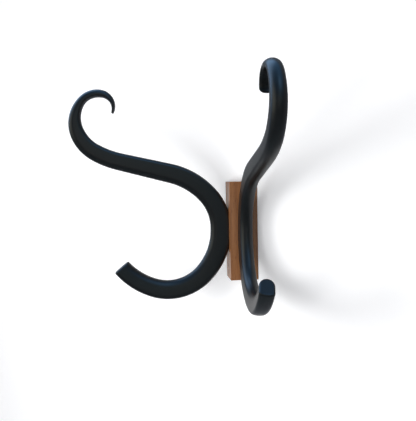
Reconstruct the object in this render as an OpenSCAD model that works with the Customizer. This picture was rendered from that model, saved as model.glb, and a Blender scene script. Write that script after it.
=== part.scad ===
// Double coat hook for a wall.
// A short wooden block with two angled faces carries two bentwood hooks. Each hook is one steam-bent
// strip, round on one side and crowned on the other, that stands square to the face it is seated on.
// Frame: the wall is the plane y = 0 and the object reaches towards -y. z is up. The origin is on the middle
// line of the block's back, at the height where the hooks are seated.

/* [Mounting block] */
// Width of each of the two faces that carry a hook
face_w = 31; // [29:0.1:40]
// Height of the block
block_h = 110; // [106:1:140]
// Angle between the wall and each of the two faces
face_angle = 45; // [40:0.5:50]
// Height of the block's middle, measured up from the middle of the seats
block_z = -2.5; // [-5:0.5:3]

/* [Hook strip] */
// Width of the strip at its seat
seat_strip_w = 13.8; // [11:0.1:16]
// Width of the strip at the curl's tip, before its corners are rounded
tip_strip_w = 14.2; // [10:0.1:16]
// Width of the strip at its lower end
end_strip_w = 15; // [10:0.1:16]
// Depth of the round side's curve
round_depth = 6.6; // [4:0.1:8]
// Depth of the crowned side's flatter curve
crown_depth = 4.4; // [1.5:0.1:5]
// Squareness of the crowned side, where 2 is an ellipse and more is flatter with tighter edges
crown_power = 2.6; // [2:0.1:4]
// Twist of the lower end, which turns its crowned side towards the other hook
end_twist = 10; // [0:0.5:14]
// Depth planed off the strip to seat it flat on the block
seat_depth = 3.7; // [2:0.1:6]

/* [Thickness of the strip, in the plane of the hook] */
// At the seat, before planing
seat_t = 24; // [20:0.1:28]
// At the end of the rise above the seat
rise_t = 22.2; // [16:0.1:26]
// At the end of the shoulder, where the arm starts
shoulder_t = 21.4; // [14:0.1:24]
// At the end of the arm
arm_t = 19.2; // [12:0.1:22]
// At the end of the sweep that starts the curl
sweep_t = 18.6; // [12:0.1:20]
// At the end of the curl's back
back_t = 16.1; // [10:0.1:18]
// At the end of the stretch where the curl is farthest out
reach_t = 9.2; // [6:0.1:13]
// At the end of the curl's top
top_t = 8; // [5:0.1:10]
// At the tip
tip_t = 2.4; // [1.6:0.1:4]
// At the end of the fall below the seat
fall_t = 22.2; // [16:0.1:26]
// At the end of the lower bend's tightest stretch
bowl_t = 21; // [14:0.1:24]
// At the lower end
end_t = 19.8; // [12:0.1:22]

/* [Upper bend, from the seat to the tip] */
// Radius of the rise above the seat
rise_r = 57.5; // [45:0.5:70]
// Turn of the rise
rise_turn = 42; // [30:0.5:48]
// Radius of the shoulder that leads into the arm
shoulder_r = 82; // [60:0.5:110]
// Turn of the shoulder
shoulder_turn = 34; // [28:0.5:40]
// Length of the straight arm
arm_l = 57; // [20:0.5:90]
// Radius of the sweep that starts the curl
sweep_r = 102; // [60:1:140]
// Turn of the sweep
sweep_turn = 16; // [8:0.5:24]
// Radius of the curl's back
back_r = 43; // [34:0.5:60]
// Turn of the curl's back
back_turn = 38; // [30:0.5:50]
// Radius of the curl where it is farthest out
reach_r = 34.5; // [28:0.5:44]
// Turn of that stretch
reach_turn = 60.5; // [45:0.5:65]
// Radius of the curl's top
top_r = 23; // [18:0.5:32]
// Turn of the curl's top
top_turn = 63; // [50:0.5:70]
// Radius of the curl's inner end
tip_r = 15; // [12:0.5:20]
// Turn of the curl's inner end
tip_turn = 105; // [70:1:110]
// Radius of the blade's corners at the tip
tip_corner_r = 4.2; // [2:0.1:4.8]

/* [Lower bend, from the seat to the lower end] */
// Radius of the fall below the seat
fall_r = 73.5; // [55:0.5:90]
// Turn of the fall
fall_turn = 44; // [40:0.5:55]
// Radius of the lower bend's tightest stretch
bowl_r = 54.5; // [42:0.5:70]
// Turn of that stretch
bowl_turn = 65; // [45:0.5:70]
// Radius of the stretch that rises to the lower end
lip_r = 79; // [50:0.5:100]
// Turn of that stretch
lip_turn = 31.5; // [20:0.5:45]

/* [Hook screws] */
// Diameter of a screw's shank
screw_d = 4; // [3:0.1:4.5]
// Diameter of a screw's head
head_d = 8; // [6:0.1:8.6]
// Height of a screw's head
head_h = 3; // [2:0.1:4]
// Width of the square socket in a screw's head
socket_w = 2.6; // [2:0.1:3]
// Depth of the square socket
socket_depth = 1.8; // [1:0.1:2]
// Length of a screw inside its hook
screw_bite = 13; // [9:0.1:15]
// Length of a screw's point
point_l = 5; // [3:0.1:6]
// Depth of a head's rim below the back of the block
head_sink = 1; // [0.2:0.1:1.5]
// Distance between the two screws of a hook
screw_pitch = 24; // [22:0.5:26]
// Height of the right hook's screws above the left hook's
screw_stagger = 12; // [11:0.5:13]
// Space round a shank or a head in the block
screw_clearance = 0.3; // [0.1:0.05:0.5]

/* [Hanging slots in the back of the block] */
// Diameter of the entry for the head of a wall screw
entry_d = 9.5; // [8:0.1:11]
// Width of the slot for the shank of a wall screw
slot_w = 4.8; // [3.5:0.1:6]
// Travel from the entry to the slot's upper end
slot_travel = 10; // [8:0.5:11]
// Thickness of the lip that the head catches behind
lip_t = 3; // [2:0.1:4]
// Room for the head behind the lip
head_room = 4.5; // [3:0.1:5]
// Distance from an end of the block to the middle of the nearest round end of a slot
slot_margin = 11; // [9:0.5:12]

/* [Hidden] */
wood_colour = [0.52, 0.35, 0.24];
lacquer_colour = [0.10, 0.11, 0.12];
steel_colour = [0.72, 0.70, 0.64];

LEFT = -1;
RIGHT = 1;
UP = 1;
DOWN = -1;
// How finely the strip is drawn
turn_step = 4.5;
arm_rings = 4;
corner_rings = 4;
round_side_angles = [0:18:180];
crowned_side_angles = [180, 200, 230, 270, 310, 340, 360];
// Shares of a thin strip's thickness that its round side and its crowned side may take
round_share = 0.62;
crown_share = 0.3;
// Share of the thickness between the strip's middle line and the line it twists about
pivot_share = 0.35;
// Length by which a cut runs past the surface it opens
past = 1;
$fn = 64;

back_w = 2 * face_w * cos(face_angle);
block_depth = face_w * sin(face_angle);
block_bottom = block_z - block_h / 2;
seat_offset = seat_t / 2 - seat_depth;
// Distance from a mounting face to the back, along the middle of a screw
screw_reach = block_depth / (2 * cos(face_angle));
// Wood of the block between a screw's head and its hook
screw_grip = screw_reach - head_d / 2 * tan(face_angle) - head_sink - head_h;

// A bend is a list of stretches: [radius, turn], or [length, 0] where the strip is straight. A negative
// turn bends the other way. Both bends start at the seat, where the strip runs along the block.
upper_bend = [[rise_r, rise_turn], [shoulder_r, shoulder_turn], [arm_l, 0], [sweep_r, -sweep_turn],
              [back_r, -back_turn], [reach_r, -reach_turn], [top_r, -top_turn], [tip_r, -tip_turn]];
lower_bend = [[fall_r, fall_turn], [bowl_r, bowl_turn], [lip_r, lip_turn]];
// Thickness at the start of a bend and at the end of each of its stretches
upper_t = [seat_t, rise_t, shoulder_t, arm_t, sweep_t, back_t, reach_t, top_t, tip_t];
lower_t = [seat_t, fall_t, bowl_t, end_t];

// Length of one stretch, and length of a bend before its stretch n
function stretch_l(s) = s[1] == 0 ? s[0] : s[0] * abs(s[1]) * PI / 180;
function length_to(bend, n) = n == 0 ? 0 : length_to(bend, n - 1) + stretch_l(bend[n - 1]);

// A station on the strip's middle line is [distance from the face, height, heading], and the heading is
// the angle that it leans outwards from the vertical. This is the station a share f along stretch s.
function along(from, s, f, way) =
    s[1] == 0
    ? [from[0] + s[0] * f * sin(from[2]), from[1] + way * s[0] * f * cos(from[2]), from[2]]
    : let (to = from[2] + s[1] * f, r = s[0] * sign(s[1]))
      [from[0] + r * (cos(from[2]) - cos(to)), from[1] + way * r * (sin(to) - sin(from[2])), to];

// Station at the start of stretch n
function start_of(bend, n, way) =
    n == 0 ? [seat_offset, 0, 0] : along(start_of(bend, n - 1, way), bend[n - 1], 1, way);

// A smooth curve through the values v at the distances d: its slope at value i, and its height a share
// f of the way from value i to the next
function slope(d, v, i) =
    let (a = max(i - 1, 0), b = min(i + 1, len(v) - 1)) (v[b] - v[a]) / (d[b] - d[a]);
function smooth(d, v, i, f) =
    let (gap = d[i + 1] - d[i])
    v[i] * (1 + 2 * f) * (1 - f) * (1 - f) + slope(d, v, i) * gap * f * (1 - f) * (1 - f)
    + v[i + 1] * (3 - 2 * f) * f * f - slope(d, v, i + 1) * gap * f * f * (1 - f);

// Outline of the strip as [across, towards the round side]: a half ellipse on the round side, and a flatter
// curve on the crowned side. A twist turns it about a point nearer its round side.
function outline(w, t, twist) =
    let (round_h = min(w / 2, round_depth, round_share * t), crown_h = min(crown_depth, crown_share * t),
         pivot = pivot_share * t)
    [for (p = concat(
            [for (a = round_side_angles)
                [w / 2 * cos(a), t / 2 - round_h + round_h * sin(a) - pivot]],
            [for (a = crowned_side_angles)
                [w / 2 * sign(cos(a)) * abs(cos(a)) ^ (2 / crown_power),
                 crown_h - t / 2 - crown_h * abs(sin(a)) ^ (2 / crown_power) - pivot]]))
        [p[0] * cos(twist) - p[1] * sin(twist), pivot + p[0] * sin(twist) + p[1] * cos(twist)]];

// One ring of points round a station
function ring(station, w, t, twist, way) =
    [for (p = outline(w, t, twist))
        [station[0] + p[1] * cos(station[2]), p[0], station[1] - way * p[1] * sin(station[2])]];

// Shares along stretch n of a bend where a ring is drawn. The first stretch also gets one at the seat, and
// at the tip the blade's corners take the last part.
function shares(bend, n, corner_share) =
    let (rings = bend[n][1] == 0 ? arm_rings : ceil(abs(bend[n][1]) / turn_step))
    concat([for (k = [n == 0 ? 0 : 1 : rings]) k / rings * (1 - corner_share)],
           corner_share == 0 ? []
           : [for (k = [1 : corner_rings]) 1 - corner_share * (1 - sin(90 * k / corner_rings))]);

// Half width lost to the blade's corner a share f along the last stretch
function corner_loss(f, corner_share) =
    corner_share == 0 || f <= 1 - corner_share ? 0
    : let (u = (f - 1 + corner_share) / corner_share) tip_corner_r * (1 - sqrt(1 - min(u, 1) ^ 2));

// All rings of a bend, from the seat outwards
function rings_along(bend, thickness, end_w, corner_r, twist, way) =
    let (last = len(bend) - 1, distances = [for (n = [0 : last + 1]) length_to(bend, n)])
    [for (n = [0 : last])
        let (start = start_of(bend, n, way), corner_share = n == last ? corner_r / stretch_l(bend[n]) : 0)
        for (f = shares(bend, n, corner_share))
            let (gone = (distances[n] + f * stretch_l(bend[n])) / distances[last + 1],
                 w = seat_strip_w + (end_w - seat_strip_w) * gone - 2 * corner_loss(f, corner_share))
            ring(along(start, bend[n], f, way), w, smooth(distances, thickness, n, f), twist * gone, way)];

// The whole strip as one skin over its rings, from the curl's tip to the lower end
module strip(twist) {
    up = rings_along(upper_bend, upper_t, tip_strip_w, tip_corner_r, 0, UP);
    down = rings_along(lower_bend, lower_t, end_strip_w, 0, twist, DOWN);
    rings = concat([for (i = [len(up) - 1 : -1 : 1]) up[i]], down);
    around = len(rings[0]);
    last = len(rings) - 1;
    polyhedron(
        points = [for (one = rings) each one],
        faces = concat(
            [[for (j = [0 : around - 1]) j]],
            [[for (j = [around - 1 : -1 : 0]) last * around + j]],
            [for (i = [0 : last - 1], j = [0 : around - 1])
                let (k = (j + 1) % around)
                [i * around + j, (i + 1) * around + j, (i + 1) * around + k, i * around + k]]));
}

// Puts its children on a mounting face: x points straight out of the face and z is up
module on_face(side) {
    translate([side * back_w / 4, -block_depth / 2, 0])
        rotate([0, 0, side * face_angle - 90])
            children();
}

function screw_z(side, place) = side * screw_stagger / 2 + place * screw_pitch / 2;

// Shank and point of a screw, from the middle of its head into its hook
module shank(radius) {
    rotate([0, 90, 0])
        translate([0, 0, screw_bite - point_l]) {
            mirror([0, 0, 1])
                cylinder(h = head_h / 2 + screw_grip + screw_bite - point_l, r = radius);
            cylinder(h = point_l, r1 = radius, r2 = 0);
        }
}

// Clearance hole for a shank and a counterbore for its head, open to the back
module screw_hole() {
    rotate([0, 90, 0])
        translate([0, 0, -screw_grip - past])
            cylinder(h = screw_grip + 2 * past, d = screw_d + 2 * screw_clearance);
    rotate([0, -90, 0])
        translate([0, 0, screw_grip])
            cylinder(h = 2 * screw_reach, d = head_d + 2 * screw_clearance);
}

// A keyhole slot: an entry, a slot through the lip above it, and room for the head behind the lip
module hanging_slot(entry_z) {
    translate([0, 0, entry_z])
        rotate([90, 0, 0]) {
            translate([0, 0, -past])
                cylinder(h = past + lip_t + head_room, d = entry_d);
            translate([-slot_w / 2, 0, -past])
                cube([slot_w, slot_travel, past + lip_t + past]);
            translate([0, slot_travel, -past])
                cylinder(h = past + lip_t + past, d = slot_w);
            translate([-entry_d / 2, 0, lip_t])
                cube([entry_d, slot_travel, head_room]);
            translate([0, slot_travel, lip_t])
                cylinder(h = head_room, d = entry_d);
        }
}

module mounting_block() {
    color(wood_colour)
        difference() {
            translate([0, 0, block_bottom])
                linear_extrude(block_h)
                    polygon([[-back_w / 2, 0], [0, -block_depth], [back_w / 2, 0]]);
            for (side = [LEFT, RIGHT], place = [UP, DOWN])
                on_face(side)
                    translate([0, 0, screw_z(side, place)])
                        screw_hole();
            hanging_slot(block_bottom + block_h - slot_margin - slot_travel);
            hanging_slot(block_bottom + slot_margin);
        }
}

// A hook is the strip with its seat planed flat and its two screw holes
module hook(side) {
    color(lacquer_colour)
        on_face(side)
            difference() {
                strip(-side * end_twist);
                translate([-seat_t, -seat_strip_w, -fall_r])
                    cube([seat_t, 2 * seat_strip_w, fall_r + rise_r]);
                for (place = [UP, DOWN])
                    translate([0, 0, screw_z(side, place)])
                        shank(screw_d / 2);
            }
}

module screw(side, place) {
    color(steel_colour)
        on_face(side)
            translate([0, 0, screw_z(side, place)])
                difference() {
                    union() {
                        shank(screw_d / 2);
                        rotate([0, 90, 0])
                            translate([0, 0, -screw_grip - head_h])
                                cylinder(h = head_h, d = head_d);
                    }
                    translate([-screw_grip - head_h - past, -socket_w / 2, -socket_w / 2])
                        cube([past + socket_depth, socket_w, socket_w]);
                }
}

mounting_block();
hook(LEFT);  // left_hook
hook(RIGHT);  // right_hook
screw(LEFT, UP);  // left_hook_upper_screw
screw(LEFT, DOWN);  // left_hook_lower_screw
screw(RIGHT, UP);  // right_hook_upper_screw
screw(RIGHT, DOWN);  // right_hook_lower_screw
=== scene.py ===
import math

import bmesh
import bpy
from mathutils import Matrix, Vector


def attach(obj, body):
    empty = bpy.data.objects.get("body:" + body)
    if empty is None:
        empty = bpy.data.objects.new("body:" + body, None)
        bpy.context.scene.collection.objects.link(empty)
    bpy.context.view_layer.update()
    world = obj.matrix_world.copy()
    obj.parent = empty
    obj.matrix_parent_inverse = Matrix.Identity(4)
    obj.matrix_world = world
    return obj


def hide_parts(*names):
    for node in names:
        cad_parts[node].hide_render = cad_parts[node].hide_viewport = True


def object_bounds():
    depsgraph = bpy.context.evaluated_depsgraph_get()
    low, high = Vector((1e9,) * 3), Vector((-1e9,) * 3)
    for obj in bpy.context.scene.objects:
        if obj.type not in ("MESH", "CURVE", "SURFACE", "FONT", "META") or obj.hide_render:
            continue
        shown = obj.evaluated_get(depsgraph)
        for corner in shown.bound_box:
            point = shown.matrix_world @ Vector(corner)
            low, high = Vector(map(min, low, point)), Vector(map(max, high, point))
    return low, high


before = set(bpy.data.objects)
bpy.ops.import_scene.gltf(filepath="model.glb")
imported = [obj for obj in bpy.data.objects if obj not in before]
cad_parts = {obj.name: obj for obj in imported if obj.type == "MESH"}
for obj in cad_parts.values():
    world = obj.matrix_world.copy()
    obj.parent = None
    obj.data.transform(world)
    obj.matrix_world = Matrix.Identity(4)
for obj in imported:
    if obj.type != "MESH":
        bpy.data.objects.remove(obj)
CAD_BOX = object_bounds()

# Sizes in millimetres, as in the part's source
MM = 0.001
FACE_ANGLE = 45
BACK_W = 43.84
BLOCK_DEPTH = 21.92

# A bend is a list of stretches: radius and turn, or length and 0 where the strip is straight
UPPER_BEND = [(57.5, 42), (82, 34), (57, 0), (102, -16), (43, -38), (34.5, -60.5), (23, -63), (15, -105)]
LOWER_BEND = [(73.5, 44), (54.5, 65), (79, 31.5)]

# Thickness where each stretch starts and where the last one ends
UPPER_T = [24, 22.2, 21.4, 19.2, 18.6, 16.1, 9.2, 8, 2.4]
LOWER_T = [24, 22.2, 21, 19.8]

# Width, section and twist
SEAT_W = 13.8
TIP_W = 14.2
END_W = 15
SEAT_OFFSET = 8.3
TIP_CORNER_R = 4.2
ROUND_DEPTH = 6.6
END_ROUND_DEPTH = 8.6
ROUND_SHARE = 0.62
CROWN_DEPTH = 4.4
CROWN_SHARE = 0.3
CROWN_POWER = 2.6
END_TWIST = 10
PIVOT_SHARE = 0.35
UP = 1
DOWN = -1

# Rounded rim of the lower end, and nose of the blade
EDGE_R = 1.7
TIP_ROUND = 1.0
NOSE_SHARE = 0.35

# How finely the strip is drawn
RING_STEP = 1.3
ROUND_POINTS = 28
CROWN_POINTS = 30
EDGE_RINGS = 7
TIP_RINGS = 8
CAP_RIM = 0.3
CAP_RIM_MOST = 0.5
CAP_RIM_GRAIN = 0.05
SAME = 1e-6
CREASE = math.radians(34)


def sin(degrees):
    return math.sin(math.radians(degrees))


def cos(degrees):
    return math.cos(math.radians(degrees))


# The strip's middle line

def stretch_length(stretch):
    size, turn = stretch
    return size * math.radians(abs(turn)) if turn else size


def along(start, stretch, share, way):
    """The station [distance from the face, height, heading] a share of the way along a stretch."""
    out, height, heading = start
    size, turn = stretch
    if not turn:
        return out + size * share * sin(heading), height + way * size * share * cos(heading), heading
    to = heading + turn * share
    radius = math.copysign(size, turn)
    return (out + radius * (cos(heading) - cos(to)),
            height + way * radius * (sin(to) - sin(heading)), to)


def smooth(distances, values, i, share):
    """A smooth curve through the values, a share of the way from value i to the next."""
    def slope(k):
        low, high = max(k - 1, 0), min(k + 1, len(values) - 1)
        return (values[high] - values[low]) / (distances[high] - distances[low])
    gap = distances[i + 1] - distances[i]
    rest = 1 - share
    return (values[i] * (1 + 2 * share) * rest ** 2 + slope(i) * gap * share * rest ** 2
            + values[i + 1] * (3 - 2 * share) * share ** 2 - slope(i + 1) * gap * share ** 2 * rest)


def outline(width, thick, round_depth):
    """The strip's section as (across, towards the round side)."""
    round_h = min(round_depth, ROUND_SHARE * thick)
    crown_h = min(CROWN_DEPTH, CROWN_SHARE * thick)
    points = []
    for k in range(ROUND_POINTS):
        a = 180 * k / ROUND_POINTS
        points.append((width / 2 * cos(a), thick / 2 - round_h + round_h * sin(a)))
    for k in range(CROWN_POINTS):
        a = 180 + 180 * k / CROWN_POINTS
        reach = (abs(cos(a)) ** CROWN_POWER + abs(sin(a)) ** CROWN_POWER) ** (-1 / CROWN_POWER)
        points.append((width / 2 * reach * cos(a), crown_h - thick / 2 + crown_h * reach * sin(a)))
    return points


def twisted(across, normal, thick, twist):
    """Turns a point of the section about a point nearer its round side."""
    pivot = PIVOT_SHARE * thick
    depth = normal - pivot
    return across * cos(twist) - depth * sin(twist), pivot + across * sin(twist) + depth * cos(twist)


def ring(station, width, thick, round_depth, twist, way, distance, inset):
    """One ring round a station: each point's place, and its place in the strip before it was bent."""
    out, height, heading = station
    across_share = (width - 2 * inset) / width
    thick_share = (thick - 2 * inset) / thick
    points = []
    for across, normal in outline(width, thick, round_depth):
        a, n = across * across_share, normal * thick_share
        side, up = twisted(a, n, thick, twist)
        place = (out + up * cos(heading), side, height - way * up * sin(heading))
        points.append((place, (a, way * distance, n)))
    return points


def corner_loss(left):
    """Half width lost to the blade's corner where a length is left to the tip."""
    if left >= TIP_CORNER_R:
        return 0
    u = 1 - left / TIP_CORNER_R
    return TIP_CORNER_R * (1 - math.sqrt(max(1 - u * u, 0)))


def nose(left):
    """Share of the thickness that is kept where a length is left to the tip."""
    if left >= TIP_ROUND:
        return 1
    return NOSE_SHARE + (1 - NOSE_SHARE) * math.sqrt(1 - (1 - left / TIP_ROUND) ** 2)


def rim_inset(left):
    """How far the section draws in where a length is left to the lower end."""
    if left >= EDGE_R:
        return 0
    return EDGE_R - math.sqrt(max(EDGE_R ** 2 - (EDGE_R - left) ** 2, 0))


def last_shares(shares, length, tip):
    """Shares along a last stretch, with more of them where its end is rounded."""
    span = TIP_CORNER_R if tip else EDGE_R
    count = TIP_RINGS if tip else EDGE_RINGS
    fine = [(length - span * (1 - sin(90 * k / count))) / length for k in range(count + 1)]
    return [s for s in shares if s < fine[0] - SAME] + fine


def bend_rings(bend, thickness, end_w, end_depth, twist, way, tip):
    """All rings of a bend, from the seat outwards, to a thin tip or a square end with a rounded rim."""
    distances = [0]
    for stretch in bend:
        distances.append(distances[-1] + stretch_length(stretch))
    total = distances[-1]
    station = (SEAT_OFFSET, 0, 0)
    rings = []
    for i, stretch in enumerate(bend):
        length = stretch_length(stretch)
        count = math.ceil(length / RING_STEP)
        shares = [k / count for k in range(0 if i == 0 else 1, count + 1)]
        if i == len(bend) - 1:
            shares = last_shares(shares, length, tip)
        for share in shares:
            left = max(total - distances[i] - share * length, 0)
            gone = 1 - left / total
            width = SEAT_W + (end_w - SEAT_W) * gone
            thick = smooth(distances, thickness, i, share)
            if tip:
                width -= 2 * corner_loss(left)
                thick *= nose(left)
            inset = 0 if tip else rim_inset(left)
            depth = ROUND_DEPTH + (end_depth - ROUND_DEPTH) * gone
            rings.append(ring(along(station, stretch, share, way), width, thick, depth, twist * gone, way,
                              distances[i] + share * length, inset))
        station = along(station, stretch, 1, way)
    return rings


# Meshes

def on_face(side):
    """Places a piece on a mounting face: x points straight out of the face and z is up."""
    middle = Matrix.Translation((side * BACK_W / 4 * MM, -BLOCK_DEPTH / 2 * MM, 0))
    return middle @ Matrix.Rotation(math.radians(side * FACE_ANGLE - 90), 4, "Z")


def keep_in_box(vertices, box):
    low, high = box
    for vertex in vertices:
        for axis in range(3):
            vertex.co[axis] = min(max(vertex.co[axis], low[axis]), high[axis])


def crease(mesh):
    """Shades smooth, apart from edges sharper than the crease angle."""
    for face in mesh.faces:
        face.smooth = True
    for edge in mesh.edges:
        if len(edge.link_faces) == 2:
            edge.smooth = edge.calc_face_angle(0) < CREASE


def add_piece(name, mesh, material):
    crease(mesh)
    data = bpy.data.meshes.new(name)
    mesh.to_mesh(data)
    mesh.free()
    data.materials.append(material)
    piece = bpy.data.objects.new(name, data)
    bpy.context.scene.collection.objects.link(piece)
    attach(piece, "root")
    return piece


def cap(mesh, layer, vertices, middle, flip):
    """Closes a ring with a narrow flat rim and one face, so that the shading stays flat on it."""
    centre = sum((v.co for v in vertices), Vector()) / len(vertices)
    inner = []
    for vertex in vertices:
        step = centre - vertex.co
        share = min(CAP_RIM * MM / max(step.length, SAME), CAP_RIM_MOST)
        new = mesh.verts.new(vertex.co + step * share)
        new[layer] = vertex[layer] + (middle - vertex[layer]) * CAP_RIM_GRAIN
        inner.append(new)
    count = len(vertices)
    for k in range(count):
        quad = [vertices[k], vertices[(k + 1) % count], inner[(k + 1) % count], inner[k]]
        mesh.faces.new(quad[::-1] if flip else quad)
    mesh.faces.new(inner[::-1] if flip else inner)


def skin(mesh, layer, rings):
    """Joins the rings with faces, and closes both ends."""
    rows = []
    for points in rings:
        row = []
        for place, flat in points:
            vertex = mesh.verts.new(Vector(place) * MM)
            vertex[layer] = Vector(flat) * MM
            row.append(vertex)
        rows.append(row)
    around = len(rows[0])
    for one, two in zip(rows, rows[1:]):
        for k in range(around):
            j = (k + 1) % around
            mesh.faces.new((one[k], two[k], two[j], one[j]))
    for row, flip in ((rows[0], False), (rows[-1], True)):
        middle = sum((v[layer] for v in row), Vector()) / around
        cap(mesh, layer, row, middle, flip)


def plane_seat(mesh):
    """Cuts off what lies behind the mounting face, and closes the cut."""
    parts = mesh.verts[:] + mesh.edges[:] + mesh.faces[:]
    cut = bmesh.ops.bisect_plane(mesh, geom=parts, dist=SAME, plane_co=(0, 0, 0), plane_no=(-1, 0, 0),
                                 clear_outer=True)
    edges = [e for e in cut["geom_cut"] if isinstance(e, bmesh.types.BMEdge)]
    bmesh.ops.contextual_create(mesh, geom=edges)
    bmesh.ops.recalc_face_normals(mesh, faces=mesh.faces[:])


def strip_mesh(side):
    """The strip as one skin over its rings, with its seat planed flat."""
    upper = bend_rings(UPPER_BEND, UPPER_T, TIP_W, ROUND_DEPTH, 0, UP, True)
    lower = bend_rings(LOWER_BEND, LOWER_T, END_W, END_ROUND_DEPTH, -side * END_TWIST, DOWN, False)
    mesh = bmesh.new()
    layer = mesh.verts.layers.float_vector.new("strip")
    skin(mesh, layer, upper[:0:-1] + lower)
    plane_seat(mesh)
    mesh.transform(on_face(side))
    keep_in_box(mesh.verts, CAD_BOX)
    return mesh


# Node materials

class Nodes:
    """Adds and links the nodes of one material."""

    def __init__(self, name, owner=None):
        self.owner = owner or bpy.data.materials.new(name)
        self.owner.use_nodes = True
        self.tree = self.owner.node_tree
        self.tree.nodes.clear()

    def add(self, kind, inputs=None, **settings):
        node = self.tree.nodes.new("ShaderNode" + kind)
        for key, value in settings.items():
            setattr(node, key, value)
        for key, value in (inputs or {}).items():
            if isinstance(value, bpy.types.NodeSocket):
                self.tree.links.new(value, node.inputs[key])
            else:
                node.inputs[key].default_value = value
        return node

    def noise(self, vector, scale, stretch=(1, 1, 1), detail=4, roughness=0.55, offset=(0, 0, 0)):
        placed = self.add("Mapping", {"Vector": vector, "Scale": stretch, "Location": offset})
        return self.add("TexNoise", {"Vector": placed.outputs[0], "Scale": scale, "Detail": detail,
                                     "Roughness": roughness}).outputs["Fac"]

    def ramp(self, value, low, high, to_low=0.0, to_high=1.0):
        return self.add("MapRange", {"Value": value, "From Min": low, "From Max": high, "To Min": to_low,
                                     "To Max": to_high}).outputs[0]

    def maths(self, operation, one, two):
        return self.add("Math", {0: one, 1: two}, operation=operation).outputs[0]

    def mix(self, share, one, two, blend="MIX"):
        """Mixes two colours, which are inputs 6 and 7 and output 2 of a Mix node."""
        node = self.add("Mix", {0: share, 6: one, 7: two}, data_type="RGBA", blend_type=blend)
        return node.outputs[2]

    def bump(self, height, distance, strength=1.0, normal=None):
        inputs = {"Height": height, "Distance": distance, "Strength": strength}
        if normal:
            inputs["Normal"] = normal
        return self.add("Bump", inputs).outputs[0]

    def finish(self, shader):
        output = self.tree.nodes.new("ShaderNodeOutputMaterial")
        self.tree.links.new(shader, output.inputs["Surface"])
        return self.owner


def colour(red, green, blue):
    """A linear colour from the usual 0 to 255 values."""
    def linear(value):
        value /= 255
        return value / 12.92 if value <= 0.04045 else ((value + 0.055) / 1.055) ** 2.4
    return linear(red), linear(green), linear(blue), 1.0


def black_lacquer():
    """Satin black lacquer over bent wood: faint grain along the strip, fine dust and uneven gloss."""
    dark = colour(11, 12, 13)
    light = colour(16, 17, 18)
    brownish = colour(16, 15, 14)
    along_grain = (1, 0.035, 1)
    along_fibres = (1, 0.12, 1)
    grain_depth = 0.00006
    dust_depth = 0.00001
    m = Nodes("black_lacquer")
    strip = m.add("Attribute", attribute_name="strip").outputs["Vector"]
    grain = m.noise(strip, 900, along_grain, 5, 0.6)
    fine = m.noise(strip, 2600, along_fibres, 3, 0.5)
    cloud = m.noise(strip, 60, (1, 0.5, 1), 3, 0.5)
    dust = m.noise(strip, 5200, (1, 1, 1), 2, 0.5)
    base = m.mix(m.ramp(grain, 0.38, 0.66), dark, light)
    base = m.mix(m.ramp(cloud, 0.35, 0.7, 0, 0.5), base, brownish)
    rough = m.maths("ADD", m.ramp(grain, 0.3, 0.7, 0.30, 0.33), m.ramp(cloud, 0.3, 0.7, 0.0, 0.04))
    height = m.maths("ADD", m.maths("MULTIPLY", grain, 0.7), m.maths("MULTIPLY", fine, 0.3))
    normal = m.bump(height, grain_depth, 0.09)
    normal = m.bump(dust, dust_depth, 0.3, normal)
    shader = m.add("BsdfPrincipled", {"Base Color": base, "Roughness": rough, "Normal": normal,
                                      "Specular IOR Level": 0.5})
    return m.finish(shader.outputs[0])


def oiled_wood():
    """Oiled brown hardwood with upright grain: bands, fibres and short dark pores."""
    band_dark = colour(136, 93, 59)
    band_light = colour(173, 123, 82)
    fibre = colour(126, 81, 48)
    glow = colour(186, 136, 94)
    pore = colour(86, 55, 36)
    oil = colour(255, 240, 222)
    upright = (1, 1, 0.03)
    pore_depth = 0.00012
    m = Nodes("oiled_wood")
    place = m.add("TexCoord").outputs["Object"]
    warp = m.noise(place, 14, (1, 1, 0.35), 2, 0.5)
    sideways = m.ramp(warp, 0, 1, -0.004, 0.004)
    inwards = m.ramp(warp, 0, 1, 0.003, -0.003)
    shift = m.add("CombineXYZ", {0: sideways, 1: inwards})
    bent = m.add("VectorMath", {0: place, 1: shift.outputs[0]}, operation="ADD").outputs[0]
    bands = m.noise(bent, 210, upright, 3, 0.55)
    fibres = m.noise(bent, 1500, upright, 4, 0.6)
    pores = m.noise(bent, 2300, (1, 1, 0.05), 2, 0.5, (3, 1, 2))
    cloud = m.noise(place, 30, (1, 1, 0.5), 3, 0.5)
    base = m.mix(m.ramp(bands, 0.35, 0.65), band_dark, band_light)
    base = m.mix(m.ramp(fibres, 0.35, 0.7, 0.0, 0.45), base, fibre)
    base = m.mix(m.ramp(cloud, 0.3, 0.75, 0.0, 0.35), base, glow)
    base = m.mix(m.ramp(pores, 0.6, 0.72, 0.0, 0.75), base, pore)
    rough = m.ramp(fibres, 0.3, 0.7, 0.42, 0.56)
    height = m.maths("SUBTRACT", m.maths("MULTIPLY", fibres, 0.5), m.ramp(pores, 0.58, 0.74, 0, 0.8))
    normal = m.bump(height, pore_depth, 0.5)
    shader = m.add("BsdfPrincipled", {"Base Color": base, "Roughness": rough, "Normal": normal,
                                      "Specular IOR Level": 0.5, "Coat Weight": 0.8, "Coat Roughness": 0.25,
                                      "Coat Tint": oil})
    return m.finish(shader.outputs[0])


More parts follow.
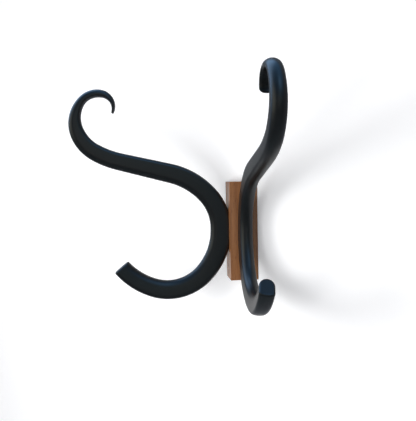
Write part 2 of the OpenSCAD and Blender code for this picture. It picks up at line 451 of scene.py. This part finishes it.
def screw_steel():
    """Zinc-plated steel with small stains and a fine uneven surface."""
    bright = colour(196, 196, 190)
    stained = colour(160, 156, 142)
    plating_depth = 0.00002
    m = Nodes("screw_steel")
    place = m.add("TexCoord").outputs["Object"]
    stains = m.noise(place, 700, (1, 1, 1), 4, 0.6)
    fine = m.noise(place, 4000, (1, 1, 0.3), 3, 0.5)
    base = m.mix(m.ramp(stains, 0.35, 0.7), bright, stained)
    rough = m.ramp(stains, 0.3, 0.7, 0.28, 0.46)
    normal = m.bump(fine, plating_depth, 0.5)
    shader = m.add("BsdfPrincipled", {"Base Color": base, "Metallic": 1.0, "Roughness": rough,
                                      "Normal": normal})
    return m.finish(shader.outputs[0])


# The stage's paint

WHITE = (1.0, 1.0, 1.0, 1.0)
PAINT_DARK = (238, 239, 240)
PAINT_LIGHT = (241, 242, 243)
ROLLER_SCALE = 260
ROLLER_DEPTH = 0.00005

# Light that the stage adds where it is looked at, and the distances between which it grows
GLOW_NEAR = 0.25
GLOW_FAR = 0.42
NEAR = 0.2
FAR = 0.5

# Share of the stage's light that shows in reflections: low and close, high and close, and farther away
FLOOR_SHARE = (0.18, 0.23, 0.26, 1.0)
FLOOR_REFLECTED = (FLOOR_SHARE, FLOOR_SHARE, FLOOR_SHARE)
WALL_REFLECTED = ((0.80, 0.79, 0.78, 1.0), (0.43, 0.45, 0.46, 1.0), (0.23, 0.25, 0.28, 1.0))

# Heights and distances between which that share changes
LOW = -0.10
HIGH = 0.05
CLOSE = 0.11
AWAY = 0.17


def unseen(m, path, shader):
    """Makes a wall clear from behind and for the shadows that it would throw itself."""
    behind = m.add("NewGeometry").outputs["Backfacing"]
    hidden = m.maths("MAXIMUM", behind, path.outputs["Is Shadow Ray"])
    clear = m.add("BsdfTransparent").outputs[0]
    return m.add("MixShader", {0: hidden, 1: shader, 2: clear}).outputs[0]


def pale_stage(name, reflected, is_wall):
    """Matt white paint, white where it is looked at, with its shadows, and dimmer in reflections."""
    low, high, away = reflected
    m = Nodes(name)
    place = m.add("TexCoord").outputs["Object"]
    roller = m.noise(place, ROLLER_SCALE, (1, 1, 1), 3, 0.5)
    tone = m.mix(m.ramp(roller, 0.3, 0.7), colour(*PAINT_DARK), colour(*PAINT_LIGHT))
    path = m.add("LightPath")
    mirrored = m.maths("MAXIMUM", path.outputs["Is Glossy Ray"], path.outputs["Is Transmission Ray"])
    seen = m.maths("MAXIMUM", path.outputs["Is Camera Ray"], mirrored)
    height = m.add("SeparateXYZ", {0: place}).outputs[2]
    reach = m.add("VectorMath", {0: place}, operation="LENGTH").outputs["Value"]
    close = m.mix(m.ramp(height, LOW, HIGH), low, high)
    share = m.mix(mirrored, WHITE, m.mix(m.ramp(reach, CLOSE, AWAY), close, away))
    tone = m.mix(1.0, tone, share, "MULTIPLY")
    matt = m.add("BsdfDiffuse", {"Color": tone, "Normal": m.bump(roller, ROLLER_DEPTH, 0.2)}).outputs[0]
    strength = m.maths("MULTIPLY", seen, m.ramp(reach, NEAR, FAR, GLOW_NEAR, GLOW_FAR))
    glow = m.add("Emission", {"Color": share, "Strength": strength}).outputs[0]
    shader = m.add("AddShader", {0: matt, 1: glow}).outputs[0]
    if is_wall:
        shader = unseen(m, path, shader)
    return m.finish(shader)


# Stage and lamps, with lengths in metres

FLOOR_Z = -0.62
WALL_GAP = 0.0004
WALL_TOP = 0.40
STAGE_REACH = 3.0
STAGE_CUTS = 7


def stage_plane(name, corners, material):
    mesh = bmesh.new()
    mesh.faces.new([mesh.verts.new(c) for c in corners])
    bmesh.ops.subdivide_edges(mesh, edges=mesh.edges[:], cuts=STAGE_CUTS, use_grid_fill=True)
    data = bpy.data.meshes.new(name)
    mesh.to_mesh(data)
    mesh.free()
    data.materials.append(material)
    plane = bpy.data.objects.new(name, data)
    bpy.context.scene.collection.objects.link(plane)


# Soft lamps: place, side of the square, brightness that it gives a white surface facing it, and tint
LAMP_TARGET = (0, -0.05, 0.03)
NEUTRAL = (1.0, 1.0, 1.0)
WARM = (1.0, 0.99, 0.97)
LAMPS = {
    "left_window": ((-0.40, -0.45, -0.01), 0.34, 0.27, WARM),
    "near_window": ((-0.16, -0.35, -0.02), 0.13, 0.22, NEUTRAL),
    "middle_window": ((0.035, -0.40, -0.075), 0.10, 0.14, NEUTRAL),
    "front_window": ((-0.05, -0.62, 0.02), 0.62, 0.30, NEUTRAL),
}


def area_light(name, place, size, level, tint):
    """A soft square lamp with an even reach, so that near and far parts are lit alike."""
    data = bpy.data.lights.new(name, "AREA")
    data.shape = "RECTANGLE"
    data.size = size
    data.size_y = size
    data.energy = level * math.pi ** 2
    data.color = tint
    data.use_nodes = True
    tree = data.node_tree
    reach = tree.nodes.new("ShaderNodeLightFalloff")
    reach.inputs["Strength"].default_value = 1
    tree.links.new(reach.outputs["Constant"], tree.nodes["Emission"].inputs["Strength"])
    lamp = bpy.data.objects.new(name, data)
    lamp.location = place
    lamp.rotation_euler = (Vector(LAMP_TARGET) - Vector(place)).to_track_quat("-Z", "Y").to_euler()
    lamp.visible_camera = False
    lamp.visible_glossy = False
    bpy.context.scene.collection.objects.link(lamp)


# What glossy surfaces see: a colour at each height, from straight down (-1) to straight up (1)
SURROUNDINGS = (
    (-1.0, (0.07, 0.09, 0.12)),
    (-0.1, (0.09, 0.11, 0.14)),
    (0.12, (0.18, 0.24, 0.27)),
    (0.35, (0.15, 0.23, 0.33)),
    (0.65, (0.12, 0.28, 0.49)),
    (1.0, (0.19, 0.44, 0.80)),
)

# Soft lights that only glossy surfaces see: azimuth and elevation, angles of core and rim, and colour
SOFT_LIGHTS = (
    ((-36, 3), 9, 37, (1.0, 0.98, 0.80)),
    ((-104, 38), 22, 52, (1.10, 1.70, 2.60)),
    ((62, 45), 9, 21, (0.55, 1.05, 1.65)),
    ((180, 52), 20, 70, (0.09, 0.25, 0.48)),
    ((44, 10), 8, 26, (0.18, 0.27, 0.27)),
    ((33, -2), 8, 18, (0.28, 0.17, 0.11)),
)

# Even light on matt surfaces
AMBIENT = (0.31, 0.307, 0.322, 1.0)


def direction(azimuth, elevation):
    """A direction out into the room: azimuth 0 is straight out, and 90 is along +X."""
    return sin(azimuth) * cos(elevation), -cos(azimuth) * cos(elevation), sin(elevation)


def height_colours(m, way):
    """The surroundings' colour in a direction."""
    height = m.add("SeparateXYZ", {0: way}).outputs[2]
    ramp = m.add("ValToRGB", {0: m.ramp(height, -1, 1)})
    stops = ramp.color_ramp.elements
    while len(stops) < len(SURROUNDINGS):
        stops.new(0.5)
    for stop, (level, tone) in zip(stops, SURROUNDINGS):
        stop.position = (level + 1) / 2
        stop.color = (*tone, 1)
    return ramp.outputs[0]


def with_soft_light(m, way, tone, soft_light):
    """Adds one soft light to the surroundings' colour."""
    (azimuth, elevation), core, rim, light = soft_light
    facing = m.add("VectorMath", {0: way, 1: direction(azimuth, elevation)}, operation="DOT_PRODUCT")
    reach = {"Value": facing.outputs["Value"], "From Min": cos(rim), "From Max": cos(core)}
    share = m.add("MapRange", reach, interpolation_type="SMOOTHSTEP").outputs[0]
    return m.mix(share, tone, (*light, 1), "ADD")


def studio_world():
    """Even light for matt surfaces, soft coloured surroundings for glossy ones, white to the camera."""
    m = Nodes("studio", bpy.data.worlds.new("studio"))
    bpy.context.scene.world = m.owner
    way = m.add("TexCoord").outputs["Generated"]
    tone = height_colours(m, way)
    for soft_light in SOFT_LIGHTS:
        tone = with_soft_light(m, way, tone, soft_light)
    path = m.add("LightPath")
    tone = m.mix(path.outputs["Is Glossy Ray"], AMBIENT, tone)
    tone = m.mix(path.outputs["Is Camera Ray"], tone, WHITE)
    out = m.tree.nodes.new("ShaderNodeOutputWorld")
    m.tree.links.new(m.add("Background", {"Color": tone}).outputs[0], out.inputs["Surface"])


# Camera, with its turns in degrees and its lens in millimetres

CAMERA_PLACE = (0.3507, -0.4969, 0.0594)
CAMERA_YAW = 38.791
CAMERA_PITCH = -3.693
CAMERA_ROLL = -1.169
CAMERA_LENS = 46.245
CAMERA_SENSOR = 36
CAMERA_NEAREST = 0.01


def place_camera():
    forward = Vector((-sin(CAMERA_YAW) * cos(CAMERA_PITCH),
                      cos(CAMERA_YAW) * cos(CAMERA_PITCH),
                      sin(CAMERA_PITCH)))
    level = Vector((cos(CAMERA_YAW), sin(CAMERA_YAW), 0))
    upright = level.cross(forward)
    right = level * cos(CAMERA_ROLL) + upright * sin(CAMERA_ROLL)
    up = upright * cos(CAMERA_ROLL) - level * sin(CAMERA_ROLL)
    data = bpy.data.cameras.new("camera")
    data.lens = CAMERA_LENS
    data.sensor_width = CAMERA_SENSOR
    data.sensor_fit = "HORIZONTAL"
    data.clip_start = CAMERA_NEAREST
    camera = bpy.data.objects.new("camera", data)
    turn = Matrix((right, up, -forward)).transposed().to_4x4()
    camera.matrix_world = Matrix.Translation(CAMERA_PLACE) @ turn
    bpy.context.scene.collection.objects.link(camera)
    bpy.context.scene.camera = camera


# The model

lacquer = black_lacquer()
wood = oiled_wood()
steel = screw_steel()


def finish_of(name):
    if name == "mounting_block":
        return wood
    return steel if "screw" in name else lacquer


for side, name in ((-1, "left_hook"), (1, "right_hook")):
    hook = add_piece(name + "_strip", strip_mesh(side), lacquer)
    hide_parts(name)

for name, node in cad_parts.items():
    for material_slot in node.material_slots:
        material_slot.material = finish_of(name)

stage_plane("wall", [(-STAGE_REACH, WALL_GAP, FLOOR_Z), (STAGE_REACH, WALL_GAP, FLOOR_Z),
                     (STAGE_REACH, WALL_GAP, WALL_TOP), (-STAGE_REACH, WALL_GAP, WALL_TOP)],
            pale_stage("wall_paint", WALL_REFLECTED, True))
stage_plane("floor", [(-STAGE_REACH, -STAGE_REACH, FLOOR_Z), (STAGE_REACH, -STAGE_REACH, FLOOR_Z),
                      (STAGE_REACH, STAGE_REACH, FLOOR_Z), (-STAGE_REACH, STAGE_REACH, FLOOR_Z)],
            pale_stage("floor_paint", FLOOR_REFLECTED, False))

for name, (place, size, level, tint) in LAMPS.items():
    area_light(name, place, size, level, tint)
studio_world()
place_camera()
bpy.context.scene.view_settings.view_transform = "Standard"
